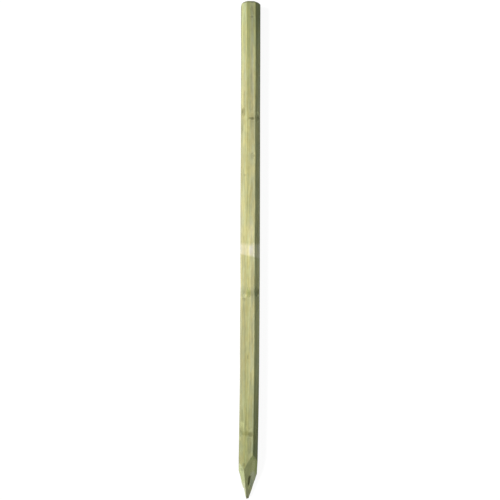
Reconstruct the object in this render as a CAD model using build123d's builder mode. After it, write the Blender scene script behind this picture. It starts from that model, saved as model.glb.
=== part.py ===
from build123d import *

import os
from math import cos, degrees, radians, sin

# A softwood fence stake, 1.8 m long, lying as it comes to rest on its back flat.
# The length runs along Y with the sawn head at +Y and the hewn point at -Y. The origin is on the
# underside, below the middle of the length, and the stake's own axis lies half its thickness above.
# All sizes are in millimetres.

# Length and bow
LENGTH = 1800.0
STRAIGHT_LENGTH = 995.0
BOW_RADIUS = 31000.0

# Section: eight flats sawn along a small trunk, each at its own distance from the axis
THICKNESS = 68.0
WIDTH = 68.0
UPPER_RIGHT_DISTANCE = 33.9
UPPER_LEFT_DISTANCE = 36.1
LOWER_DISTANCE = 34.0
ARRIS_ROUND = 1.5

# Head: a bevel on every flat keeps the end grain from splitting under the mallet
HEAD_BEVEL = 8.0
HEAD_BEVEL_ANGLE = 45.0

# Point: hewn with five flat cuts. Each one faces a direction round the axis, counted from the right
# hand side through the top, runs in at a slope to the axis, and stops at a reach from the axis at the
# very tip. A negative reach lies past the axis, so the long main cut leaves the tip below centre.
MAIN_CUT_FACING = 63.0
MAIN_CUT_SLOPE = 16.3
MAIN_CUT_REACH = -12.5
LEFT_CUT_FACING = 151.5
LEFT_CUT_SLOPE = 17.1
LEFT_CUT_REACH = -5.0
RIGHT_CUT_FACING = -5.0
RIGHT_CUT_SLOPE = 14.8
RIGHT_CUT_REACH = 9.0
LOWER_LEFT_CUT_FACING = 215.0
LOWER_LEFT_CUT_SLOPE = 10.3
LOWER_LEFT_CUT_REACH = 9.5
UNDER_CUT_FACING = 270.0
UNDER_CUT_SLOPE = 18.0
UNDER_CUT_REACH = 24.0

# Places that follow from the driving sizes
FLAT_ANGLES = [0, 45, 90, 135, 180, 225, 270, 315]
FLAT_DISTANCES = [
    WIDTH / 2,
    UPPER_RIGHT_DISTANCE,
    THICKNESS / 2,
    UPPER_LEFT_DISTANCE,
    WIDTH / 2,
    LOWER_DISTANCE,
    THICKNESS / 2,
    LOWER_DISTANCE,
]
AXIS_HEIGHT = THICKNESS / 2
HEAD_Y = LENGTH / 2
BOW_START_Y = HEAD_Y - STRAIGHT_LENGTH
BOW_ANGLE = (LENGTH - STRAIGHT_LENGTH) / BOW_RADIUS

POINT_CUTS = [
    (MAIN_CUT_FACING, MAIN_CUT_SLOPE, MAIN_CUT_REACH),
    (LEFT_CUT_FACING, LEFT_CUT_SLOPE, LEFT_CUT_REACH),
    (RIGHT_CUT_FACING, RIGHT_CUT_SLOPE, RIGHT_CUT_REACH),
    (LOWER_LEFT_CUT_FACING, LOWER_LEFT_CUT_SLOPE, LOWER_LEFT_CUT_REACH),
    (UNDER_CUT_FACING, UNDER_CUT_SLOPE, UNDER_CUT_REACH),
]


def arris(first, second):
    """The corner of the section where one flat meets the next one round."""
    start = radians(FLAT_ANGLES[first])
    turn = radians(FLAT_ANGLES[second] - FLAT_ANGLES[first]) % radians(360)
    out = FLAT_DISTANCES[first]
    along = (FLAT_DISTANCES[second] - out * cos(turn)) / sin(turn)
    return (
        out * cos(start) - along * sin(start),
        out * sin(start) + along * cos(start),
    )


def sloping_cut(end, outward, across, facing, slope, reach):
    """A cut's plane near one end of the stake, facing away from the wood that stays.

    end is the axis's last point, outward the axis's direction there, and across the sideways one.
    The plane passes reach from the axis at that end and moves away from it, towards the middle of
    the stake, at the angle slope.
    """
    facing_way = across * cos(radians(facing)) + Vector(0, 0, 1) * sin(radians(facing))
    normal = facing_way * cos(radians(slope)) + outward * sin(radians(slope))
    return Plane(origin=end + facing_way * reach, z_dir=normal)


# The head's bevels: one plane a flat, all leaning in by the same angle
head_end = Vector(0, HEAD_Y, AXIS_HEIGHT)
head_bevels = [
    sloping_cut(
        head_end,
        Vector(0, 1, 0),
        Vector(1, 0, 0),
        angle,
        HEAD_BEVEL_ANGLE,
        distance - HEAD_BEVEL,
    )
    for angle, distance in zip(FLAT_ANGLES, FLAT_DISTANCES)
]

# The tip: the bow carries the axis sideways and turns it a little
tip = Vector(
    -BOW_RADIUS * (1 - cos(BOW_ANGLE)),
    BOW_START_Y - BOW_RADIUS * sin(BOW_ANGLE),
    AXIS_HEIGHT,
)
tip_outward = Vector(-sin(BOW_ANGLE), -cos(BOW_ANGLE), 0)
tip_across = Vector(cos(BOW_ANGLE), -sin(BOW_ANGLE), 0)
point_planes = [sloping_cut(tip, tip_outward, tip_across, *cut) for cut in POINT_CUTS]

# The bow: the lower part of the stake follows a very large circle in the plane that it lies on, so
# the top flat and the underside stay truly flat from end to end
bow_start = Plane(origin=(0, BOW_START_Y, AXIS_HEIGHT), x_dir=(1, 0, 0), z_dir=(0, -1, 0))
bow_centre = Axis((-BOW_RADIUS, BOW_START_Y, 0), (0, 0, -1))

# The stake: one section carried up the straight part and round the bow, then cut at both ends
with BuildPart() as stake:
    with BuildSketch(bow_start) as section:
        with BuildLine():
            Polyline(*[arris(i, (i + 1) % len(FLAT_ANGLES)) for i in range(len(FLAT_ANGLES))], close=True)
        make_face()
        fillet(section.vertices(), radius=ARRIS_ROUND)
    extrude(amount=-STRAIGHT_LENGTH)
    revolve(section.sketch, axis=bow_centre, revolution_arc=degrees(BOW_ANGLE))
    for plane in head_bevels + point_planes:
        split(bisect_by=plane, keep=Keep.BOTTOM)

stake.part.label = "stake"

os.makedirs("parts", exist_ok=True)
export_step(stake.part, "parts/stake.step")

size = stake.part.bounding_box().size
print(f"stake {size.X:.1f} x {size.Y:.1f} x {size.Z:.1f} mm, volume {stake.part.volume / 1e6:.3f} litres")
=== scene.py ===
# %% [markdown]
# A wooden fence stake, built as one mesh round a packed CAD part.
#
# The real thing is a young softwood trunk, sawn to eight long flats, bevelled at the head and hewn to a
# point at the foot, then steeped in a green preservative. It lies on a pale floor and the camera looks
# down on it. The CAD part gives its exact size and place, so the first step is to load that part.

from math import cos, degrees, pi, radians, sin

import bpy
import numpy as np
from mathutils import Matrix, Vector


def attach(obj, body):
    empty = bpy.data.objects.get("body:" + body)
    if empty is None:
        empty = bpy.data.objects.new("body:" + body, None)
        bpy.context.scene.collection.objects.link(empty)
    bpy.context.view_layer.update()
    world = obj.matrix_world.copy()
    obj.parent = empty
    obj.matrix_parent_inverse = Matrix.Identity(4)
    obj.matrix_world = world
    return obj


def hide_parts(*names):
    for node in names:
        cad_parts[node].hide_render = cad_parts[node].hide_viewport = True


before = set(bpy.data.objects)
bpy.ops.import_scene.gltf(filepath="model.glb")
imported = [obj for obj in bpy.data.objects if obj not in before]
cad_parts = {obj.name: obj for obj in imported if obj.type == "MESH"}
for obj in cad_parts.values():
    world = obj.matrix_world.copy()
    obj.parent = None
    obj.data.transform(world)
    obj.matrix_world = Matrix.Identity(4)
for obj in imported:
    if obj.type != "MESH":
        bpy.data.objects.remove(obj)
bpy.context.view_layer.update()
MM = 0.001

# %% [markdown]
# The camera stands nearly square above the stake. The photograph shows a little more of the left-hand
# flats than of the right-hand ones, which puts the camera 5 degrees to the left of straight above. A very
# small roll lets the head lean to the right, as it does there. Its distance and focal length could be
# guessed, but they were worked out from the hewn point and the head, whose far ends show how strongly the
# view narrows with height. Both are written in pixels of the 500 pixel frame, since that is what was
# measured.

# %% The camera
FRAME_PIXELS = 500
FOCAL_PIXELS = 757.0
PIXEL_ON_AXIS = 3.6247 * MM
SENSOR = 36.0
CAMERA_LEAN = radians(5)
CAMERA_ROLL = 0.00185
AXIS_HEIGHT = 34.0
AXIS_OFF_CENTRE = Vector((0.3, -1.6))
SEEN_TO = 50

back = Vector((-sin(CAMERA_LEAN), 0, cos(CAMERA_LEAN)))
right = Vector((cos(CAMERA_LEAN), 0, sin(CAMERA_LEAN)))
up = Vector((0, 1, 0))
aim = Vector((0, 0, AXIS_HEIGHT * MM)) - (right * AXIS_OFF_CENTRE.x + up * AXIS_OFF_CENTRE.y) * PIXEL_ON_AXIS
rolled_right = right * cos(CAMERA_ROLL) + up * sin(CAMERA_ROLL)
rolled_up = up * cos(CAMERA_ROLL) - right * sin(CAMERA_ROLL)
place = aim + back * FOCAL_PIXELS * PIXEL_ON_AXIS

camera = bpy.data.objects.new("camera", bpy.data.cameras.new("camera"))
bpy.context.scene.collection.objects.link(camera)
camera.data.sensor_width = SENSOR
camera.data.lens = FOCAL_PIXELS / FRAME_PIXELS * SENSOR
camera.data.clip_end = SEEN_TO
turned = Matrix((rolled_right, rolled_up, back)).transposed().to_4x4()
camera.matrix_world = Matrix.Translation(place) @ turned
bpy.context.scene.camera = camera
print("Camera at", [round(c, 3) for c in camera.location], "lens", round(camera.data.lens, 1))

# %% [markdown]
# A material is a net of nodes, and wiring one by hand takes many lines. One small class makes it short.
# A Wire holds one output socket, and a sum written on it adds the node that does the sum: a Math node for
# numbers, a Vector Math node for places, and a Mix node for colours, since a Math node would turn a colour
# grey. A sum of a place and a colour is a place, because a colour socket can't hold a number below nought.
# Any other node comes from the method called node, which sets the node's settings first and then fills or
# links its sockets.


# %% A wire that does sums
class Wire:
    """One output socket of a node, on which sums can be written as on a number."""

    def __init__(self, tree, socket=None):
        self.tree = tree
        self.socket = socket

    def node(self, kind, settings=(), sockets=(), out=0):
        """Adds a node, and returns the Wire of one of its outputs."""
        made = self.tree.nodes.new(kind)
        for name, value in dict(settings).items():
            if name == "stops":
                set_stops(made.color_ramp, value)
            else:
                setattr(made, name, value)
        for name, value in dict(sockets).items():
            socket = made.inputs[name]
            if isinstance(value, Wire):
                self.tree.links.new(value.socket, socket)
            else:
                socket.default_value = fitted(socket, value)
        return Wire(self.tree, made.outputs[out] if made.outputs else None)

    def also(self, name):
        """Another output of the same node."""
        return Wire(self.tree, self.socket.node.outputs[name])

    def sum(self, operation, first, second):
        """The node that works first and second out together, by the kind of what flows in."""
        kinds = {x.socket.type for x in (first, second) if isinstance(x, Wire)}
        if "VECTOR" in kinds:
            return self.node("ShaderNodeVectorMath", {"operation": operation}, {0: first, 1: second})
        if "RGBA" in kinds:
            settings = {"data_type": "RGBA", "blend_type": operation}
            return self.node("ShaderNodeMix", settings, {0: 1.0, 6: first, 7: second}, out=2)
        return self.node("ShaderNodeMath", {"operation": operation}, {0: first, 1: second})

    def __add__(self, other):
        return self.sum("ADD", self, other)

    def __radd__(self, other):
        return self.sum("ADD", other, self)

    def __sub__(self, other):
        return self.sum("SUBTRACT", self, other)

    def __rsub__(self, other):
        return self.sum("SUBTRACT", other, self)

    def __mul__(self, other):
        return self.sum("MULTIPLY", self, other)

    def __rmul__(self, other):
        return self.sum("MULTIPLY", other, self)

    def __truediv__(self, other):
        return self.sum("DIVIDE", self, other)

    def __rtruediv__(self, other):
        return self.sum("DIVIDE", other, self)

    def least(self, other):
        return self.sum("MINIMUM", self, other)

    def most(self, other):
        return self.sum("MAXIMUM", self, other)

    def step(self, low, high):
        """0 below low and 1 above high, with a soft slope between. A high below low turns it round."""
        if high < low:
            return 1 - self.step(high, low)
        settings = {"interpolation_type": "SMOOTHSTEP"}
        return self.node("ShaderNodeMapRange", settings, {0: self, 1: low, 2: high, 3: 0.0, 4: 1.0})

    def blend(self, other, share):
        """This colour, going over to another one where share is 1."""
        return self.node("ShaderNodeMix", {"data_type": "RGBA"}, {0: share, 6: self, 7: other}, out=2)


def set_stops(ramp, stops):
    """Gives a colour ramp its stops, each one a position and a colour."""
    while len(ramp.elements) < len(stops):
        ramp.elements.new(1.0)
    for element, (position, colour) in zip(ramp.elements, stops):
        element.position = position
        element.color = (*colour, 1.0)


def fitted(socket, value):
    """The value in as many numbers as the socket takes."""
    if socket.type == "RGBA":
        return (*((value,) * 3 if isinstance(value, (int, float)) else value), 1.0)[:4]
    if socket.type == "VECTOR":
        return (value,) * 3 if isinstance(value, (int, float)) else tuple(value)
    return value


def new_finish(name):
    """A material with an empty net of nodes, and the Wire to start it with."""
    material = bpy.data.materials.new(name)
    material.use_nodes = True
    material.node_tree.nodes.clear()
    return material, Wire(material.node_tree)


print("Wire does", [n for n in vars(Wire) if not n.startswith("__")])

# %% [markdown]
# The stake was photographed in soft studio light on a ground that has gone pure white. Its flats tell
# where the light stood: the left-hand flat is the brightest, the top one a little darker, and the
# right-hand one is left with a quarter of that. One broad lamp high on the left does this, 40 degrees from
# straight above, and a weak, even sky fills the shade. A sun lamp is used and not an area lamp, because a
# stake nearly two metres long would sit brighter under the middle of an area lamp than at its ends.

# %% Light
KEY_LEAN = radians(40)
KEY_STRENGTH = 3.29
KEY_SPREAD = radians(14)
SKY = (0.145, 0.155, 0.165)

scene = bpy.context.scene
scene.view_settings.view_transform = "Standard"
key = bpy.data.objects.new("key light", bpy.data.lights.new("key light", "SUN"))
scene.collection.objects.link(key)
key.data.energy = KEY_STRENGTH
key.data.angle = KEY_SPREAD
key.rotation_euler = (0, -KEY_LEAN, 0)


def seen_directly(wire):
    """1 for what the camera sees, also by way of a gloss or a glass, and 0 for light that falls on things."""
    path = wire.node("ShaderNodeLightPath", out="Is Camera Ray")
    return path.most(path.also("Is Glossy Ray")).most(path.also("Is Transmission Ray"))


world = bpy.data.worlds.new("studio")
world.use_nodes = True
world.node_tree.nodes.clear()
scene.world = world
sky = Wire(world.node_tree)
dim = sky.node("ShaderNodeBackground", sockets={"Color": SKY, "Strength": 1.0})
white = sky.node("ShaderNodeBackground", sockets={"Color": 1.0, "Strength": 1.0})
shown = sky.node("ShaderNodeMixShader", sockets={0: seen_directly(sky), 1: dim, 2: white})
sky.node("ShaderNodeOutputWorld", sockets={"Surface": shown})
print("Key light leans", round(degrees(KEY_LEAN)), "degrees, sky", SKY)

# %% [markdown]
# The floor is a plain pale sheet. To the eye it glows almost white by itself and takes a little more light
# from the lamp, so it clips to pure white where the lamp reaches it, and a soft grey shadow is left where
# the stake stands in the way. To the light it is an ordinary pale floor, which throws some of it back up at
# the stake's sides.

# %% Floor
FLOOR_HALF = 9.0
FLOOR_DROP = 0.3 * MM
FLOOR_GLOW = 0.94
FLOOR_SHEEN = 0.11
FLOOR_BOUNCE = 0.5

floor_mesh = bpy.data.meshes.new("floor")
floor_signs = ((-1, -1), (1, -1), (1, 1), (-1, 1))
floor_corners = [(x * FLOOR_HALF, y * FLOOR_HALF, -FLOOR_DROP) for x, y in floor_signs]
floor_mesh.from_pydata(floor_corners, [], [(0, 1, 2, 3)])
floor = bpy.data.objects.new("floor", floor_mesh)
scene.collection.objects.link(floor)
pale, sheet = new_finish("pale floor")
bounce = sheet.node("ShaderNodeBsdfDiffuse", sockets={"Color": FLOOR_BOUNCE})
glow = sheet.node("ShaderNodeEmission", sockets={"Color": 1.0, "Strength": FLOOR_GLOW})
taker = sheet.node("ShaderNodeBsdfDiffuse", sockets={"Color": FLOOR_SHEEN})
lit = sheet.node("ShaderNodeAddShader", sockets={0: glow, 1: taker})
shown = sheet.node("ShaderNodeMixShader", sockets={0: seen_directly(sheet), 1: bounce, 2: lit})
sheet.node("ShaderNodeOutputMaterial", sockets={"Surface": shown})
floor_mesh.materials.append(pale)
print("Floor", 2 * FLOOR_HALF, "m across")

# %% [markdown]
# The stake's plan comes next. These are the CAD part's own sizes, in millimetres, written again here
# because this file can't read the part's source. Eight flats stand at their distances from the axis, the
# head has a bevel on every flat, and the point is made by five cuts. A cut faces a direction round the
# axis, runs in at a slope, and passes the axis at its reach at the very tip.

# %% The stake's plan
LENGTH = 1800.0
STRAIGHT_LENGTH = 995.0
BOW_RADIUS = 31000.0
HEAD_Y = 900.0
FLAT_TURN = 45
FLAT_FACINGS = np.radians(np.arange(0, 360, FLAT_TURN))
FLAT_DISTANCES = np.array([34.0, 33.9, 34.0, 36.1, 34.0, 34.0, 34.0, 34.0])
HEAD_BEVEL = 8.0
HEAD_BEVEL_SLOPE = 45.0
CUTS = {
    "main_cut": (63.0, 16.3, -12.5),
    "left_cut": (151.5, 17.1, -5.0),
    "right_cut": (-5.0, 14.8, 9.0),
    "lower_left_cut": (215.0, 10.3, 9.5),
    "under_cut": (270.0, 18.0, 24.0),
}


def axis_at(along):
    """The axis's place, its direction to the tip, and its sideways direction, at lengths from the head."""
    turn = np.maximum(along - STRAIGHT_LENGTH, 0) / BOW_RADIUS
    straight = np.minimum(along, STRAIGHT_LENGTH)
    flat = np.zeros_like(turn)
    axis_place = np.stack(
        [
            -BOW_RADIUS * (1 - np.cos(turn)),
            HEAD_Y - straight - BOW_RADIUS * np.sin(turn),
            flat + AXIS_HEIGHT,
        ],
        axis=-1,
    )
    outward = np.stack([-np.sin(turn), -np.cos(turn), flat], axis=-1)
    across = np.stack([np.cos(turn), -np.sin(turn), flat], axis=-1)
    return axis_place, outward, across


def cut_plane(along, end_sign, facing, slope, reach):
    """A point of a cut's plane and its normal, in the part's frame. The end sign is -1 at the head."""
    end, outward, across = axis_at(np.array(along))
    way = across * cos(radians(facing)) + np.array([0, 0, 1]) * sin(radians(facing))
    normal = way * cos(radians(slope)) + end_sign * outward * sin(radians(slope))
    return end + way * reach, normal


head_planes = [
    cut_plane(0.0, -1, np.degrees(facing), HEAD_BEVEL_SLOPE, distance - HEAD_BEVEL)
    for facing, distance in zip(FLAT_FACINGS, FLAT_DISTANCES)
]
point_planes = [cut_plane(LENGTH, 1, *cut) for cut in CUTS.values()]
print("Flats", len(FLAT_DISTANCES), "bevels", len(head_planes), "cuts", len(point_planes))

# %% [markdown]
# Where the young tree carried a ring of branches, the stake shows a whorl of knots. Each knot is a spindle
# of branch wood that starts at the pith, in the middle of the trunk, and climbs outwards. The photograph
# shows three whorls and a few single knots. They are listed once here, because both the mesh and the
# finish need them: the mesh raises them a little and the finish turns their grain. A knot is written as its
# height along the stake from mid-length, the direction that it faces, its radius at the surface, and how
# dark its wood is.

# %% Knots
PITH = (2.0, -4.0)
KNOT_CLIMB = radians(22)
FAR_FROM_KNOTS = 9.0
KNOTS = [
    # upper whorl
    (485.0, 90.0, 9.0, 0.30),
    (503.0, 150.0, 8.5, 0.60),
    (480.0, 52.0, 8.0, 0.45),
    # middle whorl
    (-158.0, 134.0, 8.0, 0.25),
    (-149.0, 103.0, 8.5, 0.35),
    (-144.0, 50.0, 10.0, 0.55),
    # lower whorl
    (-655.0, 88.0, 8.5, 0.60),
    (-640.0, 140.0, 9.0, 0.30),
    (-648.0, 46.0, 8.0, 0.45),
    # single knots
    (278.0, 160.0, 5.0, 0.60),
    (841.0, 90.0, 4.0, 0.35),
    (343.0, 82.0, 5.0, 0.30),
]


def knot_line(height, facing, radius):
    """Where a knot starts on the pith, and its unit direction, in trunk places (across, height, up)."""
    way = np.array([cos(radians(facing)), 0, sin(radians(facing))])
    run = AXIS_HEIGHT - PITH[0] * way[0] - PITH[1] * way[2]
    start = np.array([PITH[0], height - run * np.tan(KNOT_CLIMB), PITH[1]])
    direction = way * cos(KNOT_CLIMB) + np.array([0, 1, 0]) * sin(KNOT_CLIMB)
    return start, direction, radius / (run / cos(KNOT_CLIMB))


print("Knots", len(KNOTS))

# %% [markdown]
# The mesh could be the CAD solid with displacement on it, but its long thin triangles have no points to
# displace. It could be sculpted, but then it wouldn't be repeatable. Here it is woven as a net: rows across
# the stake from head to tip, and columns round it. A ray goes out from the middle of each row in each
# column's direction, and stops at the nearest plane. Rows lie closer together at the head, at the whorls
# and along the point, and columns lie closer together at the corners, where the shape changes most.

# %% Rows and columns of the net
FLAT_COLUMNS = 18
CORNER_CROWDING = 0.55
ROW_GAPS = {"body": 4.6, "whorl": 1.7, "head": 1.3, "point": 1.0}
WHORL_HALF = 26.0
HEAD_LENGTH = 24.0
POINT_LENGTH = 182.0
TIP_MIDDLE = np.array([3.9, -18.4])
TIP_SHIFT_LENGTH = 170.0
FIRST_ROWS = [0.0, 0.3, 0.8]
SMALL_KNOT = 4.5


def row_gap(along):
    """How far the next row is, at a length from the head."""
    if along > LENGTH - POINT_LENGTH:
        return ROW_GAPS["point"]
    if along < HEAD_LENGTH:
        return ROW_GAPS["head"]
    near = min(abs(HEAD_Y - along - height) for height, _, radius, _ in KNOTS if radius > SMALL_KNOT)
    return ROW_GAPS["whorl"] if near < WHORL_HALF else ROW_GAPS["body"]


def corner_angles():
    """The directions, from the axis, in which the section's eight corners lie."""
    following = np.roll(FLAT_DISTANCES, -1)
    turn = radians(FLAT_TURN)
    along = (following - FLAT_DISTANCES * cos(turn)) / sin(turn)
    return np.unwrap(FLAT_FACINGS + np.arctan2(along, FLAT_DISTANCES))


rows = list(FIRST_ROWS)
while rows[-1] < LENGTH:
    rows.append(rows[-1] + row_gap(rows[-1]))
rows = np.array(rows)
rows[len(FIRST_ROWS) :] *= LENGTH / rows[-1]
corners = corner_angles()
following = np.append(corners[1:], corners[0] + 2 * pi)
share = np.arange(FLAT_COLUMNS) / FLAT_COLUMNS
share = share - CORNER_CROWDING * np.sin(2 * pi * share) / (2 * pi)
columns = (corners[:, None] + (following - corners)[:, None] * share).ravel()
ROWS, COLUMNS = len(rows), len(columns)
print("Rows", ROWS, "columns", COLUMNS, "triangles about", 2 * ROWS * COLUMNS)

# %% [markdown]
# Nothing on sawn wood is quite even, so the mesh needs small random hills. Blender has noise textures for a
# displace modifier, but the relief here differs from place to place, so it is worked out point by point. A
# block of random numbers is read between its grid points with a soft slope. The numbers start from a fixed
# seed, so the stake comes out the same every time. A name that ends in HILLS tells how far apart the hills of
# a noise are: across the stake, along it, and up.

# %% Soft noise
NOISE_TABLE = 64


def soft_noise(places, hills, seed):
    """Smooth random heights from -1 to 1, one for each place, with hills as far apart as hills says."""
    table = np.random.default_rng(seed).uniform(-1, 1, (NOISE_TABLE,) * 3)
    scaled = places / np.array(hills)
    low = np.floor(scaled).astype(int)
    part = scaled - low
    part = part * part * (3 - 2 * part)
    total = np.zeros(places.shape[:-1])
    for corner in np.ndindex(2, 2, 2):
        weight = np.prod(np.where(corner, part, 1 - part), axis=-1)
        x, y, z = np.moveaxis((low + corner) % NOISE_TABLE, -1, 0)
        total += weight * table[x, y, z]
    return total


print("Noise at the head:", round(float(soft_noise(np.zeros(3), (9, 9, 9), 1)), 3))

# %% [markdown]
# Now the rays go out. A flat of the real stake is not a perfect plane, for the saw ran a little wide or
# tight along the bent trunk. So the upper flats and the two at the sides get a fullness, a few stops of
# height and millimetres that follow the outline in the photograph, and the upper part of the main cut is
# scooped a little deeper.
# Sawn corners are never knife edges. They could be bevelled on the finished mesh, but the planes can be
# joined softly from the start: the nearness of every plane is raised to a high power, added up, and the
# root taken. Far from a corner one plane wins, and close to it both count and the corner is rounded. The
# power is lower where the corner is worn more.

# %% Rays out to the planes
RIGHT, UPPER_RIGHT, TOP, UPPER_LEFT, LEFT = range(5)
FULLNESS = {
    RIGHT: ((-790, -0.2), (-400, -0.2), (-350, -0.6), (-150, -0.6), (-90, -0.2), (640, -0.2), (680, 0.12)),
    UPPER_RIGHT: (
        (-720, -0.1), (-560, -0.3), (-400, -0.7), (-150, -1.2), (0, -1.2),
        (160, -0.2), (500, -0.2), (620, 0.3), (760, 0.3), (860, 0.0),
    ),
    TOP: ((-900, -0.35), (900, -0.35)),
    UPPER_LEFT: ((-900, -0.2), (900, -0.2)),
    LEFT: (
        (-720, -0.9), (-660, -0.4), (-420, -0.1), (-370, 1.0), (-250, 1.4), (-150, 0.7),
        (-115, 0.2), (-80, 1.0), (0, 1.4), (240, 1.1), (330, 0.5), (740, -0.1), (790, 0.5),
    ),
}
CORNER_POWER = 190.0
CORNER_WEAR = 0.45
MEAN_WEAR = 0.2
WEAR_HILLS = (30, 42, 30)
MAIN_SCOOP = 1.7
SCOOP_START = 95.0
SCOOP_END = 140.0
LEAST_ROOM = 0.05
LEAST_NEARNESS = 1e-9

axis_place, outward, across = axis_at(rows)
back_from_tip = LENGTH - rows
shift = np.clip(1 - back_from_tip / TIP_SHIFT_LENGTH, 0, 1)
middle = shift[:, None] * TIP_MIDDLE
ways = np.stack([np.cos(columns), np.sin(columns)], axis=-1)
facings = np.stack([np.cos(FLAT_FACINGS), np.sin(FLAT_FACINGS)], axis=-1)

# nearness to each flat: how much of the flat's distance one millimetre of the ray uses up
fullness = np.zeros((ROWS, len(FLAT_DISTANCES)))
for which, stops in FULLNESS.items():
    fullness[:, which] = np.interp(HEAD_Y - rows, *zip(*stops))
flat_room = FLAT_DISTANCES + fullness - middle @ facings.T
nearness = [(ways @ facings.T)[None, :, i] / flat_room[:, i, None] for i in range(len(FLAT_DISTANCES))]

# nearness to the bevels and cuts, which are planes of the part's own frame
up_way = np.array([0.0, 0.0, 1.0])
row_middle = axis_place + middle[:, :1] * across + middle[:, 1:] * up_way
ray = ways[None, :, :1] * across[:, None, :] + ways[None, :, 1:] * up_way
scoop = MAIN_SCOOP * np.clip((back_from_tip - SCOOP_START) / (SCOOP_END - SCOOP_START), 0, 1)
bites = [0.0] * len(head_planes) + [scoop] + [0.0] * (len(point_planes) - 1)
for (origin, normal), bite in zip(head_planes + point_planes, bites):
    room = (origin - row_middle) @ normal - bite
    nearness.append((ray @ normal) / np.maximum(room, LEAST_ROOM)[:, None])

nearness = np.maximum(np.stack(nearness), LEAST_NEARNESS)
nearest = nearness.max(axis=0)
rough_out = 1 / nearest
trunk = np.stack(
    [
        middle[:, :1] + rough_out * ways[None, :, 0],
        np.broadcast_to((HEAD_Y - rows)[:, None], rough_out.shape),
        middle[:, 1:] + rough_out * ways[None, :, 1],
    ],
    axis=-1,
)
power = CORNER_POWER * np.exp(CORNER_WEAR * soft_noise(trunk, WEAR_HILLS, 11) - MEAN_WEAR)
near_power = (nearness / nearest) ** power
total = near_power.sum(axis=0)
reach = rough_out * total ** (-1 / power)
plane_share = near_power / total
print("Rays reach", round(float(reach.min()), 1), "to", round(float(reach.max()), 1), "mm")

# %% [markdown]
# Now the surface gets its relief. Most of it is cut into the CAD shape. The knots and one edge of the point
# stand proud by a millimetre or two, and a later step keeps them inside the CAD box. The flats wander by a
# fraction of a millimetre, since a saw follows the grain. Fibres stand up in fine ridges along the stake.
# Knots are harder than the wood round them and shrink less, so they rise inside a shallow ring. The corners
# are knocked and chipped here and there. The hewn cuts are rougher, for they go through the fibres and tear
# them.

# %% Relief
FLAT_DIP = 0.12
FLAT_WANDER = 0.16
FLAT_HILLS = (26, 170, 26)
RIDGE = 0.12
RIDGE_HILLS = (3.2, 70, 3.2)
GRIT = 0.06
GRIT_HILLS = (5, 9, 5)
CHIP_DEPTH = 1.6
CHIP_HILLS = (24, 30, 24)
CHIP_START = 0.42
CHIP_REACH = 2.2
KNOT_RISE = 0.7
KNOT_DOME = 0.85
FULL_KNOT = 8
LEAST_KNOT = 0.5
KNOT_RING = 0.3
KNOT_RING_PLACE = 1.25
KNOT_RING_HALF = 0.3
HEWN_DIP = 0.15
TORN_DEPTH = 0.35
TORN_HILLS = (3, 14, 3)
PLUCKED_DEPTH = 0.25
PLUCKED_HILLS = (9, 9, 9)

flats = len(FLAT_DISTANCES)
names = list(CUTS)
cut_share = plane_share[flats + len(head_planes) :]
hewn = cut_share.sum(axis=0)
bevelled = plane_share[flats : flats + len(head_planes)].sum(axis=0)
corner_share = 1 - plane_share.max(axis=0)

dip = FLAT_DIP + FLAT_WANDER * soft_noise(trunk, FLAT_HILLS, 21)
dip += RIDGE * soft_noise(trunk, RIDGE_HILLS, 22)
dip += GRIT * soft_noise(trunk, GRIT_HILLS, 23)

# chips on the corners, short along the grain and only here and there
chip = np.clip(soft_noise(trunk, CHIP_HILLS, 31) - CHIP_START, 0, 1) / (1 - CHIP_START)
dip += CHIP_DEPTH * chip * np.clip(CHIP_REACH * corner_share, 0, 1) * (1 - hewn)

for height, facing, radius, _ in KNOTS:
    start, direction, widening = knot_line(height, facing, radius)
    offset = trunk - start
    run = offset @ direction
    knot_radius = np.maximum(widening * run, LEAST_KNOT)
    gap = np.linalg.norm(offset - run[..., None] * direction, axis=-1) / knot_radius
    gap = np.where(run > 0, gap, FAR_FROM_KNOTS)
    dip -= KNOT_RISE * np.exp(-((gap / KNOT_DOME) ** 4)) * min(radius / FULL_KNOT, 1)
    dip += KNOT_RING * np.exp(-(((gap - KNOT_RING_PLACE) / KNOT_RING_HALF) ** 2))

# torn grain and blade marks on the cuts
torn = TORN_DEPTH * soft_noise(trunk, TORN_HILLS, 41) + PLUCKED_DEPTH * soft_noise(trunk, PLUCKED_HILLS, 42)
dip += hewn * (HEWN_DIP + torn)
print("Relief from", round(float(dip.min()), 2), "to", round(float(dip.max()), 2), "mm")

# %% [markdown]
# Three marks of the point are too large for noise. The blade ran through the pith and opened a short groove
# in the main cut, right of the middle, which shows as the one dark streak. And the left edge of the point
# is hollow, as if a splinter had come away with the cut, and stands a little proud just above that. All
# three are placed one by one.

# %% Groove and hollow of the point
GROOVE_SPAN = (48.0, 95.0)
GROOVE_FADE = 10
GROOVE_FOOT = 4.8
GROOVE_SLANT = 0.093
GROOVE_HALF = 2.3
GROOVE_WIDENING = 0.085
GROOVE_DEPTH = 2.8
HOLLOW_BACK = 37.0
HOLLOW_HALVES = (12.0, 5.0)
HOLLOW_DEPTH = 2.0
SHOULDER_BACK = 57.0
SHOULDER_HALF = 8.5
SHOULDER_RISE = 1.8
EDGE_REACH = 1.1
EDGE_FALL = 1.5
RIM_LENGTH = 1.3
RIM_DEPTH = 0.7
LEAST_REACH = 0.8

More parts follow.
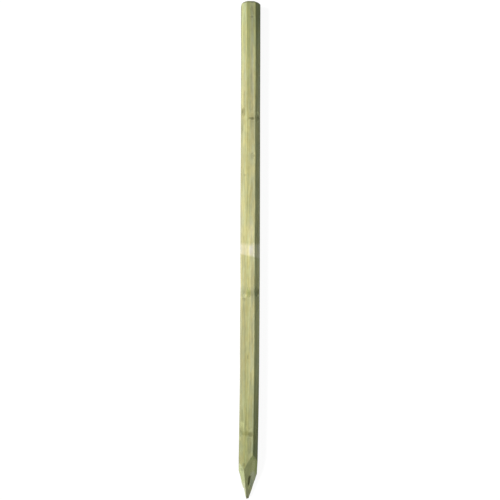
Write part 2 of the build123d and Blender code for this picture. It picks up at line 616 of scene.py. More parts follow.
main_share = cut_share[names.index("main_cut")]
left_share = cut_share[names.index("left_cut")]
from_tip = back_from_tip[:, None]
above_foot = from_tip - GROOVE_SPAN[0]
below_top = GROOVE_SPAN[1] - from_tip
groove_window = np.clip(above_foot / GROOVE_FADE, 0, 1) * np.clip(below_top / GROOVE_FADE, 0, 1)
groove_line = GROOVE_FOOT + GROOVE_SLANT * above_foot
groove_half = GROOVE_HALF + GROOVE_WIDENING * np.clip(above_foot, 0, None)
groove = np.exp(-(((trunk[..., 0] - groove_line) / groove_half) ** 2)) * groove_window * main_share
dip += GROOVE_DEPTH * groove
on_left_edge = np.clip(-ways[None, :, 0] * EDGE_REACH, 0, 1) ** EDGE_FALL
hollow_half = np.where(from_tip < HOLLOW_BACK, *HOLLOW_HALVES)
hollow = np.exp(-(((from_tip - HOLLOW_BACK) / hollow_half) ** 2))
shoulder = np.exp(-(((from_tip - SHOULDER_BACK) / SHOULDER_HALF) ** 2))
dip += (HOLLOW_DEPTH * hollow - SHOULDER_RISE * shoulder) * on_left_edge

# the head's rim, where the sawn end meets the bevels, is rubbed round
rim = np.clip(1 - rows / RIM_LENGTH, 0, 1)[:, None] ** 2
dip += RIM_DEPTH * rim
reach = np.maximum(reach - dip, LEAST_REACH)
print("Groove and hollow", GROOVE_DEPTH, "and", HOLLOW_DEPTH, "mm deep, shoulder", SHOULDER_RISE, "mm proud")

# %% [markdown]
# With the reach of every ray known, the net's points get their places in the part's frame. A second set of
# places is kept beside them: where each point sat in the living tree, before the stake bowed. The grain is
# drawn in those places, so it follows the bow as the real grain does. Each end is closed by rings that
# shrink to one middle point, and those rings carry the marks of the saw.

# %% Places of the net
CAP_RINGS = 16
SAW_MARK = 0.16
SAW_PITCH = 3.4
SAW_SLANT = 0.35
END_ROUGHNESS = 0.3
END_HILLS = (9, 9, 9)
RIM_SPARED = 2.5
BOX_GAP = 0.04


def in_frame(row, outwards):
    """Points of one or more rows of the net in the part's frame, from their places across and up."""
    return axis_place[row] + outwards[..., :1] * across[row] + outwards[..., 1:] * up_way


section = middle[:, None, :] + reach[..., None] * ways[None, :, :]
points = axis_place[:, None, :] + section[..., :1] * across[:, None, :] + section[..., 1:] * up_way
points[..., 2] = np.clip(points[..., 2], BOX_GAP, 2 * AXIS_HEIGHT - BOX_GAP)
points[..., 0] = np.minimum(points[..., 0], FLAT_DISTANCES[RIGHT] - BOX_GAP)
tree_height = np.broadcast_to((HEAD_Y - rows)[:, None], reach.shape)
tree = np.stack([section[..., 0], tree_height, section[..., 1]], axis=-1)


def end_cap(row, inward, seed):
    """Rings from the rim of an end to its middle, pressed in a little by the saw's marks."""
    cap_points, cap_tree = [], []
    for ring in range(1, CAP_RINGS + 1):
        spread = 1 - ring / CAP_RINGS
        flat = middle[row] + spread * (section[row] - middle[row])
        if ring == CAP_RINGS:
            flat = flat[:1]
        place_in_tree = np.stack([flat[:, 0], np.full(len(flat), HEAD_Y - rows[row]), flat[:, 1]], axis=-1)
        press = SAW_MARK * (1 + np.sin(2 * pi * (flat[:, 0] + SAW_SLANT * flat[:, 1]) / SAW_PITCH))
        press = press + END_ROUGHNESS * (1 + soft_noise(place_in_tree, END_HILLS, seed))
        press = press * min(1, RIM_SPARED * ring / CAP_RINGS)
        cap_points.append(in_frame(row, flat) + press[:, None] * inward)
        cap_tree.append(place_in_tree)
    return np.concatenate(cap_points), np.concatenate(cap_tree)


head_points, head_tree = end_cap(0, np.array([0, -1, 0]), 51)
tip_points, tip_tree = end_cap(ROWS - 1, -outward[-1], 52)
all_points = np.concatenate([points.reshape(-1, 3), head_points, tip_points])
all_tree = np.concatenate([tree.reshape(-1, 3), head_tree, tip_tree])
print("Points", len(all_points))

# %% [markdown]
# The points are joined into four-sided faces, and each end is closed with a fan. Every face also gets its
# place on a flat map, on which the finish can be baked. Blender could unwrap the mesh by itself, but the net
# already is a sheet. The upper and the lower half of the stake lie side by side on the map, and the two ends
# are small discs above them.

# %% Faces of the net
BODY_POINTS = ROWS * COLUMNS
CAP_POINTS = (CAP_RINGS - 1) * COLUMNS + 1
MAP_TOP = 0.88
MAP_GAP = 0.005
CAP_HALF = 0.055
HEAD_ON_MAP = (0.08, 0.94)
TIP_ON_MAP = (0.22, 0.94)

column = np.arange(COLUMNS)
next_column = (column + 1) % COLUMNS


def body_faces():
    """The net's four-sided faces, and their places on the flat map, in two strips side by side."""
    row = np.arange(ROWS - 1)[:, None]
    faces = np.stack(
        [
            row * COLUMNS + column,
            row * COLUMNS + next_column,
            (row + 1) * COLUMNS + next_column,
            (row + 1) * COLUMNS + column,
        ],
        axis=-1,
    )
    half = np.searchsorted(rows, LENGTH / 2)
    strip = (np.arange(ROWS - 1) >= half).astype(float)[:, None]
    start = np.where(strip > 0, rows[half], 0.0)
    span = np.where(strip > 0, LENGTH - rows[half], rows[half])
    left = strip / 2 + MAP_GAP + column / COLUMNS * (0.5 - 2 * MAP_GAP)
    right_side = strip / 2 + MAP_GAP + (column + 1) / COLUMNS * (0.5 - 2 * MAP_GAP)
    near = MAP_GAP + (rows[:-1, None] - start) / span * (MAP_TOP - 2 * MAP_GAP)
    far = MAP_GAP + (rows[1:, None] - start) / span * (MAP_TOP - 2 * MAP_GAP)
    map_corners = np.broadcast_arrays(left, near, right_side, near, right_side, far, left, far)
    flat_map = np.stack(map_corners, axis=-1)
    return faces.reshape(-1, 4), flat_map.reshape(-1, 4, 2)


def cap_faces(rim_start, ring_start, turned, map_middle):
    """The faces of an end, with their places on the flat map as a small disc."""
    def at(ring, which):
        return rim_start + which if ring == 0 else ring_start + (ring - 1) * COLUMNS + which

    def on_map(ring, angle_index):
        angle = columns[angle_index % COLUMNS]
        spread = CAP_HALF * (1 - ring / CAP_RINGS)
        place = [map_middle[0] + spread * np.cos(angle), map_middle[1] + spread * np.sin(angle)]
        return np.stack(place, axis=-1)

    quads, quad_map = [], []
    for ring in range(CAP_RINGS - 1):
        corners = [at(ring, column), at(ring + 1, column), at(ring + 1, next_column), at(ring, next_column)]
        places = [
            on_map(ring, column),
            on_map(ring + 1, column),
            on_map(ring + 1, column + 1),
            on_map(ring, column + 1),
        ]
        quads.append(np.stack(corners[::turned], axis=-1))
        quad_map.append(np.stack(places[::turned], axis=1))
    last = CAP_RINGS - 1
    hub = np.full(COLUMNS, ring_start + last * COLUMNS)
    hub_map = np.broadcast_to(np.array(map_middle), (COLUMNS, 2))
    corners = [at(last, column), hub, at(last, next_column)]
    places = [on_map(last, column), hub_map, on_map(last, column + 1)]
    triangles = np.stack(corners[::turned], axis=-1)
    triangle_map = np.stack(places[::turned], axis=1)
    return np.concatenate(quads), np.concatenate(quad_map), triangles, triangle_map


side_quads, side_map = body_faces()
head_rim, tip_rim = 0, (ROWS - 1) * COLUMNS
head_quads, head_map, head_fan, head_fan_map = cap_faces(head_rim, BODY_POINTS, 1, HEAD_ON_MAP)
tip_quads, tip_map, tip_fan, tip_fan_map = cap_faces(tip_rim, BODY_POINTS + CAP_POINTS, -1, TIP_ON_MAP)
quads = np.concatenate([side_quads, head_quads, tip_quads])
fans = np.concatenate([head_fan, tip_fan])
flat_map = np.concatenate([side_map, head_map, tip_map]).reshape(-1, 2)
flat_map = np.concatenate([flat_map, np.concatenate([head_fan_map, tip_fan_map]).reshape(-1, 2)])
print("Faces", len(quads) + len(fans), "triangles", 2 * len(quads) + len(fans))

# %% [markdown]
# Points and faces make the mesh in one call. The finish also has to know things that a surface doesn't tell:
# which flat a place lies on, where a cut begins, where the groove is. Masks could be painted by hand, but
# they would have to be painted again after every change. The net knows these shares already, so they are
# stored on its points.

# %% The stake's mesh
stake_mesh = bpy.data.meshes.new("stake_wood")
stake_mesh.from_pydata((all_points * MM).tolist(), [], quads.tolist() + fans.tolist())
stake_mesh.polygons.foreach_set("use_smooth", np.ones(len(stake_mesh.polygons), dtype=bool))
stake_mesh.uv_layers.new(name="OFBake").uv.foreach_set("vector", flat_map.astype(np.float32).ravel())


def keep_on_points(name, kind, field, values):
    """Stores numbers on the mesh's points, for the finish to read."""
    layer = stake_mesh.attributes.new(name, kind, "POINT")
    layer.data.foreach_set(field, np.asarray(values, dtype=np.float32).ravel())


# each mask's values on the body, and its one value on the head's and on the tip's end
masks = {
    "hewn": (hewn, 0.0, 1.0),
    "left_flat": (plane_share[UPPER_LEFT], 0.0, 0.0),
    "right_flat": (plane_share[UPPER_RIGHT], 0.0, 0.0),
    "main_cut": (main_share, 0.0, 0.0),
    "left_cut": (left_share, 0.0, 0.0),
    "end_grain": (bevelled, 1.0, 1.0),
    "groove": (groove, 0.0, 0.0),
}
keep_on_points("tree_place", "FLOAT_VECTOR", "vector", all_tree)
for name, (on_body, on_head, on_tip) in masks.items():
    on_all = np.concatenate([on_body.ravel(), np.full(CAP_POINTS, on_head), np.full(CAP_POINTS, on_tip)])
    keep_on_points(name, "FLOAT", "value", on_all)
stake_mesh.validate()
stake_mesh.update()
stake_wood = bpy.data.objects.new("stake_wood", stake_mesh)
scene.collection.objects.link(stake_wood)
print("Mesh points", len(stake_mesh.vertices), "faces", len(stake_mesh.polygons))

# %% [markdown]
# The finish is drawn from inside out, as the wood grew. Yearly rings lie round the pith, pale early wood
# going over to a darker late line and then breaking off. The trunk narrows upwards, so each flat cuts the
# rings at a very low angle, which draws the long tongues of grain that sawn softwood shows. Image textures
# could show one photograph of grain, but they would not meet at the corners and would smear on the point.
# A pattern worked out from the place in the trunk runs truly round corners and across the cuts.

# %% Grain of the wood
RING_WIDTH = 2.3
TRUNK_TAPER = 0.0085
RING_PHASE = 0.45
GRAIN_WANDER = 5.0
GRAIN_WANDER_HILLS = (60, 420, 60)
FINE_WANDER = 0.9
FINE_WANDER_HILLS = (9, 60, 9)
ACROSS_THE_GRAIN = (1.0, 0.0, 1.0)

softwood, wood = new_finish("treated softwood")
tree_place = wood.node("ShaderNodeAttribute", {"attribute_name": "tree_place"}, out="Vector")


def noise(at, hills, detail=2.0, out=0):
    """Blender's noise, from 0 to 1, with its hills as far apart as hills says, in millimetres."""
    sockets = {"Vector": at * tuple(1 / h for h in hills), "Scale": 1.0, "Detail": detail}
    return at.node("ShaderNodeTexNoise", {"noise_dimensions": "3D"}, sockets, out=out)


def dot(first, second):
    """The dot product of a vector wire with a plain vector."""
    sockets = {0: first, 1: tuple(second)}
    return first.node("ShaderNodeVectorMath", {"operation": "DOT_PRODUCT"}, sockets, out="Value")


def length_of(vector):
    """How long a vector is."""
    return vector.node("ShaderNodeVectorMath", {"operation": "LENGTH"}, {0: vector}, out="Value")


def wander(at, hills, width, out=0):
    """Noise round nought, in all as wide as width. With out=1 it is a place, and else a number."""
    return (noise(at, hills, out=out) - 0.5) * width


grain_wander = wander(tree_place, GRAIN_WANDER_HILLS, GRAIN_WANDER, out=1)
grain_place = tree_place + grain_wander + wander(tree_place, FINE_WANDER_HILLS, FINE_WANDER, out=1)
sideways = tree_place.node("ShaderNodeSeparateXYZ", sockets={0: tree_place}, out="X")
height = sideways.also("Y")
above_axis = sideways.also("Z")
from_pith = length_of((grain_place - (PITH[0], 0.0, PITH[1])) * ACROSS_THE_GRAIN)
print("Rings", RING_WIDTH, "mm wide round the pith at", PITH)

# %% [markdown]
# Each knot bends the rings round itself. For every knot the finish measures how far a place is from the
# knot's own line, in knot radii, and keeps the smallest answer of all knots. That one number does
# everything: it pushes the rings aside near a knot, draws the knot's own tight rings inside it, and darkens
# its edge. Adding up the knots would fuse neighbours into one blot, and the minimum keeps them apart.

# %% Knots in the grain
KNOT_WAVER = 0.5
KNOT_WAVER_HILLS = (5, 5, 5)
LEAST_DRAWN_KNOT = 0.8
STAIN_EDGE = (1.25, 0.55)
KNOT_EDGE = (1.05, 0.85)
KNOT_REACH = (2.6, 1.0)

knot_gap = FAR_FROM_KNOTS
knot_stain = 0.0
knot_waver = wander(tree_place, KNOT_WAVER_HILLS, KNOT_WAVER)
for *line, darkness in KNOTS:
    start, direction, widening = knot_line(*line)
    offset = tree_place - tuple(start)
    run = dot(offset, direction)
    sockets = {0: tuple(direction), "Scale": run}
    along_knot = offset.node("ShaderNodeVectorMath", {"operation": "SCALE"}, sockets)
    gap = length_of(offset - along_knot) / (run * widening).most(LEAST_DRAWN_KNOT) + knot_waver
    knot_gap = gap.least(knot_gap)
    knot_stain = (gap.step(*STAIN_EDGE) * darkness).most(knot_stain)
inside_knot = knot_gap.step(*KNOT_EDGE)
near_knot = knot_gap.step(*KNOT_REACH)
print("Knots drawn", len(KNOTS))

# %% [markdown]
# The rings are counted off from the pith with a saw-tooth: the whole part of the count is thrown away, and
# what is left runs from 0 to 1 inside each ring. A ramp turns that into early and late wood. Inside a knot
# the knot's own radius is added to the count, which draws the knot's rings.

# %% Rings
RING_PUSH = 2.0
RING_WAVER = 0.8
RING_WAVER_HILLS = (40, 200, 40)
RINGS_IN_KNOT = 2.6
LATE_RUN = ((0.0, 0.0), (0.5, 0.12), (0.8, 0.85), (0.93, 1.0), (1.0, 0.05))

ring_count = (from_pith + height * TRUNK_TAPER + near_knot * RING_PUSH) / RING_WIDTH + RING_PHASE
ring_count = ring_count + wander(grain_place, RING_WAVER_HILLS, RING_WAVER)
ring_count = ring_count + inside_knot * knot_gap * RINGS_IN_KNOT
in_ring = ring_count.node("ShaderNodeMath", {"operation": "FRACT"}, {0: ring_count})
late_stops = [(position, (value,) * 3) for position, value in LATE_RUN]
late_ramp = in_ring.node("ShaderNodeValToRGB", {"stops": late_stops}, {0: in_ring})
late_wood = late_ramp.node("ShaderNodeRGBToBW", sockets={0: late_ramp})
print("Late wood takes the last third of each ring")

# %% [markdown]
# Seven more patterns lie over the rings: fibres, two widths of long streak, a mottle, and three kinds of
# patch. They could be painted, but they are all noise, and what tells them apart is how long and how narrow
# their hills are. The patches have edges, for each is a noise with the part between two levels stretched out
# to run from 0 to 1.

# %% Fibres, streaks and patches
FIBRE_HILLS = (0.9, 34, 0.9)
STREAK_HILLS = (5.0, 380, 5.0)
BROAD_STREAK_HILLS = (15, 700, 15)
MOTTLE_HILLS = (14, 38, 14)
WARM_HILLS = (8, 46, 8)
WARM_LEVELS = (0.40, 0.60)
DULL_HILLS = (13, 100, 13)
DULL_LEVELS = (0.38, 0.62)
SMALL_HILLS = (7, 16, 7)
SMALL_LEVELS = (0.40, 0.62)

fibre = noise(grain_place, FIBRE_HILLS, detail=3.0)
streak = noise(grain_place, STREAK_HILLS)
broad_streak = noise(grain_place, BROAD_STREAK_HILLS, detail=1.0)
mottle = noise(tree_place, MOTTLE_HILLS, detail=3.0)
warm_patch = noise(grain_place, WARM_HILLS).step(*WARM_LEVELS)
dull_patch = noise(grain_place, DULL_HILLS).step(*DULL_LEVELS)
small_patch = noise(tree_place, SMALL_HILLS).step(*SMALL_LEVELS)
print("Streaks up to", max(BROAD_STREAK_HILLS), "mm long, fibres", min(FIBRE_HILLS), "mm wide")

# %% [markdown]
# Colour comes in layers, and the first is tone. The preservative gives the whole stake its pale olive. It
# soaks deeper near the ends, where the cut fibres drink it, so the head and the foot are greener. Each of the
# three upper flats has its own run of tones along the stake, darker at the head and the foot and paler in the
# middle. A run is a few stops, each a height and a brightness, with soft steps between them. The right-hand
# flat lies in the shade and is also painted a little greener, a painted shade colour. Another run goes from
# side to side: the wood is yellower left of the middle and greyer at the right. Near the head this difference
# is stronger.

# %% Tone along the stake
OLIVE = (0.565, 0.560, 0.288)
END_GREEN = (0.97, 1.04, 0.97)
GREEN_HEAD = (500, 880)
GREEN_FOOT = (-300, -730)
TOP_TONE = (
    (-730, 0.70), (-600, 0.81), (-500, 0.94), (-180, 1.01), (-60, 1.20),
    (60, 1.20), (130, 1.02), (400, 1.02), (600, 0.90), (880, 0.63),
)
LEFT_TONE = (
    (-700, 0.66), (-600, 0.70), (-260, 0.75), (-90, 0.93), (430, 1.05),
    (520, 1.00), (600, 0.91), (700, 0.93), (780, 0.98), (880, 0.92),
)
RIGHT_TONE = (
    (-720, 0.58), (-360, 1.02), (-60, 1.13), (40, 0.99), (250, 1.00), (500, 1.03), (640, 0.96), (880, 0.57),
)
# painted shade colour: the right-hand flat lies in the shade and is painted greener
RIGHT_SHADE_GREEN = (0.97, 1.06, 0.97)
YELLOWER = (1.0, 1.0, 0.80)
GREYER = (1.0, 1.0, 1.30)
GREYNESS = (
    (-34, 0.56), (-27, 0.48), (-22, 0.42), (-16, 0.24), (-9, 0.26), (-5, 0.40),
    (1, 0.58), (8, 0.56), (14, 0.46), (20, 0.52), (27, 0.68),
)
HEAD_GREYNESS_FROM = (500, 600)
HEAD_GREYNESS = (
    (-31, 0.0), (-23, 0.28), (-15, 0.0), (-10, -0.15), (-6, 0.0),
    (3, 0.30), (8, 0.05), (12, -0.15), (18, -0.05), (24, 0.05),
)


def run_of(wire, stops):
    """A number that goes smoothly from stop to stop, each one a value of the wire and the number there."""
    total = stops[0][1]
    for (low, before), (high, after) in zip(stops, stops[1:]):
        total = wire.step(low, high) * (after - before) + total
    return total


def stored(name):
    """A number that was stored on the mesh's points."""
    return wood.node("ShaderNodeAttribute", {"attribute_name": name}, out="Fac")


def flat_colour(colour):
    """A wire that carries one plain colour."""
    made = wood.node("ShaderNodeRGB")
    made.socket.default_value = (*colour, 1.0)
    return made


def tinted(colour, tint, share):
    """The colour multiplied by a tint, as far as share says."""
    return colour.blend(colour * tint, share)


left_flat, right_flat = stored("left_flat"), stored("right_flat")
tone = run_of(height, TOP_TONE) * (1 - left_flat - right_flat)
tone = tone + run_of(height, LEFT_TONE) * left_flat + run_of(height, RIGHT_TONE) * right_flat
head_greyness = run_of(sideways, HEAD_GREYNESS) * height.step(*HEAD_GREYNESS_FROM)
greyness = run_of(sideways, GREYNESS) + head_greyness
from_side_to_side = flat_colour(YELLOWER).blend(flat_colour(GREYER), greyness)
olive = flat_colour(OLIVE)
olive = tinted(olive, END_GREEN, height.step(*GREEN_HEAD).most(height.step(*GREEN_FOOT)))
# painted shade colour on the shaded right-hand flat
olive = tinted(olive, RIGHT_SHADE_GREEN, right_flat)
coloured = olive * from_side_to_side * tone
print("Tone from", TOP_TONE[0][1], "at the foot to", TOP_TONE[-1][1], "at the head")

# %% [markdown]
# A cream ring goes round the stake near mid-length. It may be where a band tied a bundle of stakes and kept
# the preservative out. Its lower edge is the firmer one and runs down a little to the right. It could be a
# second colour laid over the first, but then the grain under it would vanish, so it only brightens what is
# there.

# %% The pale ring
PALE_SPAN = (-16.5, 27.0)
PALE_SLANT = 0.22
PALE_TINT = (1.28, 1.25, 1.62)
PALE_WAVER = 5.0
PALE_WAVER_HILLS = (7, 7, 7)
LOWER_WAVER = 0.4
LOWER_HALF = 4.5
UPPER_WAVER = 2.0
UPPER_HALF = 7

edge_waver = wander(tree_place, PALE_WAVER_HILLS, PALE_WAVER)
slanted = height + sideways * PALE_SLANT + edge_waver * LOWER_WAVER
lower_edge = slanted.step(PALE_SPAN[0] - LOWER_HALF, PALE_SPAN[0] + LOWER_HALF)
upper_edge = (height + edge_waver * UPPER_WAVER).step(PALE_SPAN[1] + UPPER_HALF, PALE_SPAN[1] - UPPER_HALF)
coloured = tinted(coloured, PALE_TINT, lower_edge * upper_edge)
print("Pale ring", PALE_SPAN[1] - PALE_SPAN[0], "mm wide")

# %% [markdown]
# Over that go the marks of the wood itself: late wood a shade darker and browner, fibres and long streaks
# lighter and darker, knots darker and redder. They multiply the colour, so that they show alike on olive
# and on cream. The multipliers of fibres, streaks and mottle lie round 1 and leave the mean colour as it
# was, and the tints of late wood, patches and knots change it only where those are.

# %% Marks of the wood
LATE_TINT = (0.85, 0.84, 0.79)
WARM_TINT = (1.06, 1.00, 0.90)
DULL_TINT = 0.91
SMALL_TINT = 0.94
KNOT_TINT = (0.50, 0.48, 0.38)
DEPTHS = ((fibre, 0.24), (streak, 0.44), (broad_streak, 0.36), (mottle, 0.20))


def round_a_mean(pattern, depth, mean=1.0):
    """A multiplier that a pattern from 0 to 1 moves by depth in all, half below the mean and half above."""
    return pattern * depth + (mean - depth / 2)


coloured = tinted(coloured, LATE_TINT, late_wood)
for pattern, depth in DEPTHS:
    coloured = coloured * round_a_mean(pattern, depth)
patches = (
    (WARM_TINT, warm_patch),
    (DULL_TINT, dull_patch),
    (SMALL_TINT, small_patch),
    (KNOT_TINT, knot_stain),
)
for tint, where in patches:
    coloured = tinted(coloured, tint, where)
print("Marks that multiply the colour:", 1 + len(DEPTHS) + len(patches))

# %% [markdown]
# The hewn faces are cut through the fibres. Open end grain drinks preservative, so the long main cut is the
# darkest and greenest part of the stake. The left cut stayed paler. The sawn head is end grain too, and is
# darker towards its right side. Right of the groove the main cut is greyer. A dark band along its right edge,
# and a dark line that follows that edge down to the tip, are painted shade: they stand for the right cut,
# which lies in shade and is seen edge-on. The groove is darkened with painted shade too, a little on its
# slopes and most in its bottom. Where one colour goes over to the next is written as two places, from none of
# it to all of it.

# %% Colour of the cuts
MAIN_OLIVE = (0.345, 0.370, 0.165)
MAIN_LOW = (0.315, 0.325, 0.175)
LOW_FROM = (48, 30)
MAIN_GREY = (0.390, 0.420, 0.262)
GREY_ACROSS = (7, 10)
GREY_FOOT = (36, 50)
GREY_TOP = (115, 95)
# painted shade: the shaded right cut, seen edge-on at the main cut's right edge
MAIN_EDGE_SHADE = (0.29, 0.335, 0.14)
EDGE_ACROSS = (23, 28)
EDGE_UP = (80, 105)
# painted shade: a dark line down the right edge to the tip
EDGE_LINE_SHADE_TINT = (0.80, 0.83, 0.76)
LINE_FOOT = 9.2
LINE_RUN = 0.264
LINE_GAP = (4.5, 1.5)
MAIN_TOP_TINT = (0.84, 0.90, 0.80)
TOP_FROM = (146, 158)
LEFT_PALE = (0.53, 0.55, 0.345)
LEFT_GREEN = (0.47, 0.51, 0.265)
GREEN_LOW_EDGE = (60, 72)
GREEN_HIGH_EDGE = (136, 120)
HIDDEN_CUT = (0.42, 0.45, 0.22)
CUT_FIBRE = {"depth": 0.36, "mean": 1.02}
CUT_MOTTLE = {"depth": 0.30, "mean": 1.01}
TIP_DIRT = (0.62, 0.62, 0.52)
DIRT_FROM = (14, 3)
# painted shade on the groove's slopes
GROOVE_SLOPE_SHADE_TINT = (0.78, 0.78, 0.74)
AURA_FROM = (0.02, 0.25)
# painted shade in the groove's bottom
GROOVE_SHADE_TINT = (0.33, 0.33, 0.27)
GROOVE_FROM = (0.22, 0.75)
END_TINT = (0.62, 0.66, 0.62)
END_ACROSS = (-24, -2)

hewn_here, groove_here = stored("hewn"), stored("groove")
above_tip = height + LENGTH / 2
main_colour = flat_colour(MAIN_OLIVE).blend(MAIN_LOW, above_tip.step(*LOW_FROM))
grey_share = sideways.step(*GREY_ACROSS) * above_tip.step(*GREY_FOOT) * above_tip.step(*GREY_TOP)
main_colour = main_colour.blend(MAIN_GREY, grey_share)
# painted shade along the upper right edge of the main cut
main_colour = main_colour.blend(MAIN_EDGE_SHADE, sideways.step(*EDGE_ACROSS) * above_tip.step(*EDGE_UP))
# painted shade: a dark line along the right edge down to the tip
line_gap = above_tip * LINE_RUN + LINE_FOOT - sideways
main_colour = tinted(main_colour, EDGE_LINE_SHADE_TINT, line_gap.step(*LINE_GAP))
main_colour = tinted(main_colour, MAIN_TOP_TINT, above_tip.step(*TOP_FROM))
green_share = above_tip.step(*GREEN_LOW_EDGE) * above_tip.step(*GREEN_HIGH_EDGE)
left_colour = flat_colour(LEFT_PALE).blend(LEFT_GREEN, green_share)
cut_colour = flat_colour(HIDDEN_CUT)
cut_colour = cut_colour.blend(main_colour, stored("main_cut")).blend(left_colour, stored("left_cut"))
cut_colour = tinted(cut_colour, LATE_TINT, late_wood)
cut_colour = cut_colour * round_a_mean(fibre, **CUT_FIBRE) * round_a_mean(mottle, **CUT_MOTTLE)
cut_colour = tinted(cut_colour, TIP_DIRT, above_tip.step(*DIRT_FROM))
coloured = coloured.blend(cut_colour, hewn_here)
# painted shade in the groove, lighter on its slopes and darkest in its bottom
coloured = tinted(coloured, GROOVE_SLOPE_SHADE_TINT, groove_here.step(*AURA_FROM))
coloured = tinted(coloured, GROOVE_SHADE_TINT, groove_here.step(*GROOVE_FROM))
# the head's end grain and bevels, darker towards the right
coloured = tinted(coloured, END_TINT, stored("end_grain") * sideways.step(*END_ACROSS))
print("Cuts coloured")

# %% [markdown]
# The sawn head has dried faster than the rest, and end grain splits along its rays: fine checks run from
# near the pith outwards. They could be cut into the mesh, but each is less than a millimetre wide, which is
# finer than the net, so a dark line of painted shade with a little bump does it. Each one faces a direction,
# and starts and stops at its distances from the pith.

# %% Drying checks of the ends
END_CHECKS = [
    (18.0, 5.0, 27.0),
    (77.0, 3.0, 22.0),
    (128.0, 6.0, 33.0),
    (201.0, 4.0, 24.0),
    (249.0, 8.0, 30.0),
    (318.0, 3.0, 20.0),
]
CHECK_HALF = 0.35
CHECK_SOFTNESS = (1.6, 0.4)
CHECK_START_HALF = 1
CHECK_FADE = 4
CHECK_WAVER = 2.4
CHECK_WAVER_HILLS = (6, 6, 6)
# painted shade inside the checks
CHECK_SHADE_TINT = (0.38, 0.36, 0.32)
END_FROM = (0.6, 0.95)

end_here = stored("end_grain").step(*END_FROM)
check_waver = wander(tree_place, CHECK_WAVER_HILLS, CHECK_WAVER)
outer_line, inner_line = [CHECK_HALF * softness for softness in CHECK_SOFTNESS]
split_open = 0.0
for facing, inner, outer in END_CHECKS:
    way_across, way_up = cos(radians(facing)), sin(radians(facing))
    outwards = (sideways - PITH[0]) * way_across + (above_axis - PITH[1]) * way_up
    aside = (sideways - PITH[0]) * way_up - (above_axis - PITH[1]) * way_across + check_waver
    aside = aside.most(aside * -1.0)
    past_start = outwards.step(inner - CHECK_START_HALF, inner + CHECK_START_HALF)
    in_reach = past_start * outwards.step(outer + CHECK_FADE, outer)
    line = aside.step(outer_line, inner_line) * in_reach
    split_open = line.most(split_open)
split_open = split_open * end_here
# painted shade along the open checks
coloured = tinted(coloured, CHECK_SHADE_TINT, split_open)
print("End checks", len(END_CHECKS))

# %% [markdown]
# Marks that no rule of growth explains: grey patches round the whorls, a few flecks, and a dark line beside
# the upper-left corner. Some marks are painted light: the marks at 12.5 across are a painted highlight along
# the upper-right corner, and the long lighter marks at -33.5 to -34.5 across are a painted highlight along
# the left edge. The darker marks near the left edge only make it darker. Noise could scatter such marks, but
# not where the photograph shows them, so they are placed one by one, as seen from above. Each has its height
# along the stake, its place across, its half length and half width, and the tint that it gives. A little
# noise bends their outlines, and they end where the flats turn down out of sight.

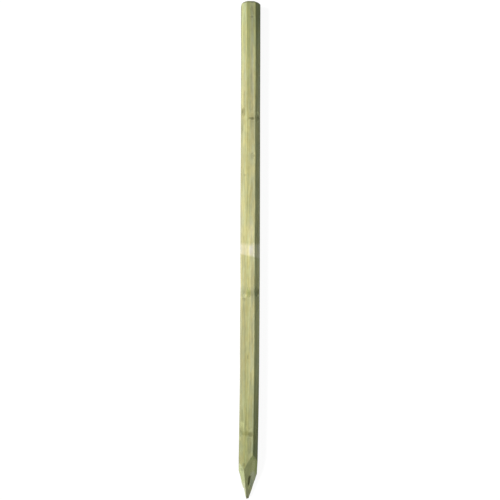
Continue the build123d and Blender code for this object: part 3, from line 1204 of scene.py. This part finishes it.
# %% Marks, with painted highlights
MARK_EDGE = (1.3, 0.6)
MARK_WAVER = (4.0, 9.0, 4.0)
MARK_WAVER_HILLS = (6, 14, 6)
UPPER_SIDE_FROM = (2, 16)
POINT_SIDE_FROM = (-22, -14)
POINT_FROM = (-730, -750)
MARKS_AND_PAINTED_HIGHLIGHTS = [
    # head
    (841, 0, 4, 9, 0.86),
    (855, -2, 34, 8, 0.94),
    (765, -5, 36, 9, 1.05),
    # painted highlight along the upper-right corner, with the next mark
    (800, 12.5, 75, 3.5, (1.05, 1.07, 1.11)),
    (690, 12.5, 190, 4, 1.11),
    (685, 24, 36, 7, 0.94),
    # painted highlight along the upper-right corner
    (594, 12.5, 38, 3.5, (1.05, 1.09, 1.09)),
    # painted highlight along the left edge
    (690, -34.5, 190, 4.5, 1.12),
    (590, -4, 110, 5, 0.95),
    (342, 4, 15, 4, 0.85),
    (425, -34.5, 38, 5, 0.88),
    (345, -17, 110, 4, 1.06),
    (335, -10, 38, 6, (1.04, 1.05, 1.10)),
    # painted highlight along the upper-right corner
    (335, 12.5, 38, 3.5, 1.07),
    (250, 6, 36, 5, 0.94),
    (335, -24, 45, 9, 0.90),
    (340, -33, 125, 7, 0.89),
    (274, -22, 5, 4, 0.80),
    # painted highlight along the left edge, with the next mark
    (135, -34, 100, 5, 1.09),
    (110, -34.5, 75, 5, (1.01, 1.02, 1.13)),
    (75, -5, 40, 12, (1.04, 1.03, 1.14)),
    # upper whorl
    (477, 1, 5, 10.5, (0.49, 0.51, 0.46)),
    (469, 3, 9, 9, 0.89),
    (461, 4, 17, 9, 0.90),
    (515, 0, 30, 7, 0.93),
    (500, -27, 17, 6, (0.72, 0.73, 0.71)),
    (462, -33, 36, 6, 0.82),
    (484, -21, 16, 5, 1.08),
    (480, 19, 7, 7, 0.80),
    (498, 23, 6, 6, 1.26),
    # pale ring
    (5, 17, 20, 4.5, (1.12, 1.12, 1.02)),
    (5, -2, 17, 7, (1.04, 1.04, 1.26)),
    (5, 10, 18, 4.5, (0.94, 0.94, 0.96)),
    # below the ring, at the right
    (-125, 6.5, 78, 7.5, 0.79),
    (-72, 2.5, 42, 3.5, 0.92),
    # painted highlight along the left edge
    (-170, -34, 170, 5, 1.12),
    (-182, 22, 36, 6, (0.91, 0.93, 0.97)),
    (-245, 28, 75, 5, 1.13),
    (-430, -32, 105, 6, 0.94),
    # middle whorl
    (-141, -27, 24, 9, (0.90, 0.92, 0.95)),
    (-158, -22.5, 8, 6, (1.45, 1.46, 1.52)),
    (-172, -25, 6, 6, 0.82),
    (-147, -9, 15, 8, (0.88, 0.94, 0.80)),
    (-160, -8, 4, 4, 0.84),
    (-158, 6, 9, 3.5, 0.88),
    (-146, 18, 17, 8, (0.66, 0.69, 0.66)),
    # below the middle
    (-378, -10, 8, 2.4, 0.64),
    (-430, -19, 210, 1.8, 0.86),
    (-545, 11.5, 95, 4.5, 0.87),
    (-528, 24, 38, 6, 1.07),
    # lower whorl
    (-627, -26, 20, 7, (1.26, 1.25, 1.16)),
    (-600, -14, 50, 3, 0.89),
    (-651, -15, 8, 20, (0.82, 0.83, 0.75)),
    (-655, 1, 11, 8, 0.90),
    (-671, -33, 9, 4, 1.28),
    (-650, 9.5, 90, 3.5, (1.06, 1.08, 1.20)),
    (-695, 1.5, 36, 6, 0.80),
    (-702, 5, 34, 3, 0.93),
    # painted highlight along the upper-right corner
    (-702, 12.5, 34, 3, (1.06, 1.07, 1.11)),
    (-704, -21, 34, 3.5, 0.95),
    # painted highlight along the left edge
    (-704, -33.5, 34, 4, 1.10),
    (-588, 19.5, 50, 4, 1.09),
    (-705, -12, 45, 6.5, 1.14),
    (-726, 11, 12, 6, 1.12),
    # above and on the left cut
    (-742, -25, 26, 7, (0.98, 0.95, 0.93)),
    (-742, -13, 24, 4.5, 1.06),
    (-714, -2, 13, 4, 0.93),
    (-687, -2, 11, 4, 1.07),
    (-764, -17.5, 7, 4.2, 0.76),
    (-784, -23, 6, 6, 0.78),
    # right part of the main cut
    (-775, 18.5, 32, 5.5, (1.20, 1.20, 1.28)),
    (-838, 13.5, 20, 5.5, (0.74, 0.76, 0.81)),
]

bent_place = tree_place + wander(tree_place, MARK_WAVER_HILLS, MARK_WAVER, out=1)
point_side = above_axis.step(*POINT_SIDE_FROM) * height.step(*POINT_FROM)
seen_from_above = above_axis.step(*UPPER_SIDE_FROM).most(point_side)
for mark_height, mark_across, half_length, half_width, tint in MARKS_AND_PAINTED_HIGHLIGHTS:
    offset = (bent_place - (mark_across, mark_height, 0.0)) * (1 / half_width, 1 / half_length, 0.0)
    coloured = tinted(coloured, tint, length_of(offset).step(*MARK_EDGE) * seen_from_above)
print("Marks and painted highlights", len(MARKS_AND_PAINTED_HIGHLIGHTS))

# %% [markdown]
# The surface is dry, matt wood, so roughness is high, a little lower on the dense late wood and the knots.
# The finest relief is a bump, for it is smaller than the net's own faces: fibres, the step between early
# and late wood, and the torn grain of the cuts.

# %% The finished wood
ROUGHNESS = 0.86
LATE_SMOOTHNESS = 0.08
KNOT_SMOOTHNESS = 0.12
FIBRE_ROUGHNESS = 0.12
GLOSS_LEVEL = 0.22
SAW_STEP = 4.3
SAW_LEAN = 0.10
SAW_WAVER = 3.0
TORN_GRAIN_HILLS = (1.3, 4.0, 1.3)
FIBRE_BUMP = 0.55
LATE_BUMP = 0.28
MOTTLE_BUMP = 0.25
TORN_BUMP = 0.8
SAW_BUMP = 0.07
CHECK_BUMP = 1.2
BUMP_STRENGTH = 0.75
BUMP_DEPTH = 0.45 * MM

roughness = ROUGHNESS - late_wood * LATE_SMOOTHNESS - inside_knot * KNOT_SMOOTHNESS
roughness = roughness + (fibre - 0.5) * FIBRE_ROUGHNESS
torn_grain = noise(tree_place, TORN_GRAIN_HILLS, detail=3.0)
saw_turn = (height + sideways * SAW_LEAN + (mottle - 0.5) * SAW_WAVER) * (2 * pi / SAW_STEP)
saw_wave = saw_turn.node("ShaderNodeMath", {"operation": "SINE"}, {0: saw_turn})
saw_wave = saw_wave * small_patch * (1 - hewn_here)
relief = fibre * FIBRE_BUMP + late_wood * LATE_BUMP + mottle * MOTTLE_BUMP
relief = relief + hewn_here * torn_grain * TORN_BUMP + saw_wave * SAW_BUMP - split_open * CHECK_BUMP
bump = relief.node(
    "ShaderNodeBump",
    sockets={"Strength": BUMP_STRENGTH, "Distance": BUMP_DEPTH, "Height": relief},
)
shader = wood.node(
    "ShaderNodeBsdfPrincipled",
    sockets={
        "Base Color": coloured,
        "Roughness": roughness,
        "Specular IOR Level": GLOSS_LEVEL,
        "Normal": bump,
    },
)
wood.node("ShaderNodeOutputMaterial", sockets={"Surface": shader})
stake_mesh.materials.append(softwood)
print("Nodes in the finish", len(softwood.node_tree.nodes))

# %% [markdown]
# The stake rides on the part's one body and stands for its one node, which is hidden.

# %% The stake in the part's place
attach(stake_wood, "root")
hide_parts("stake")
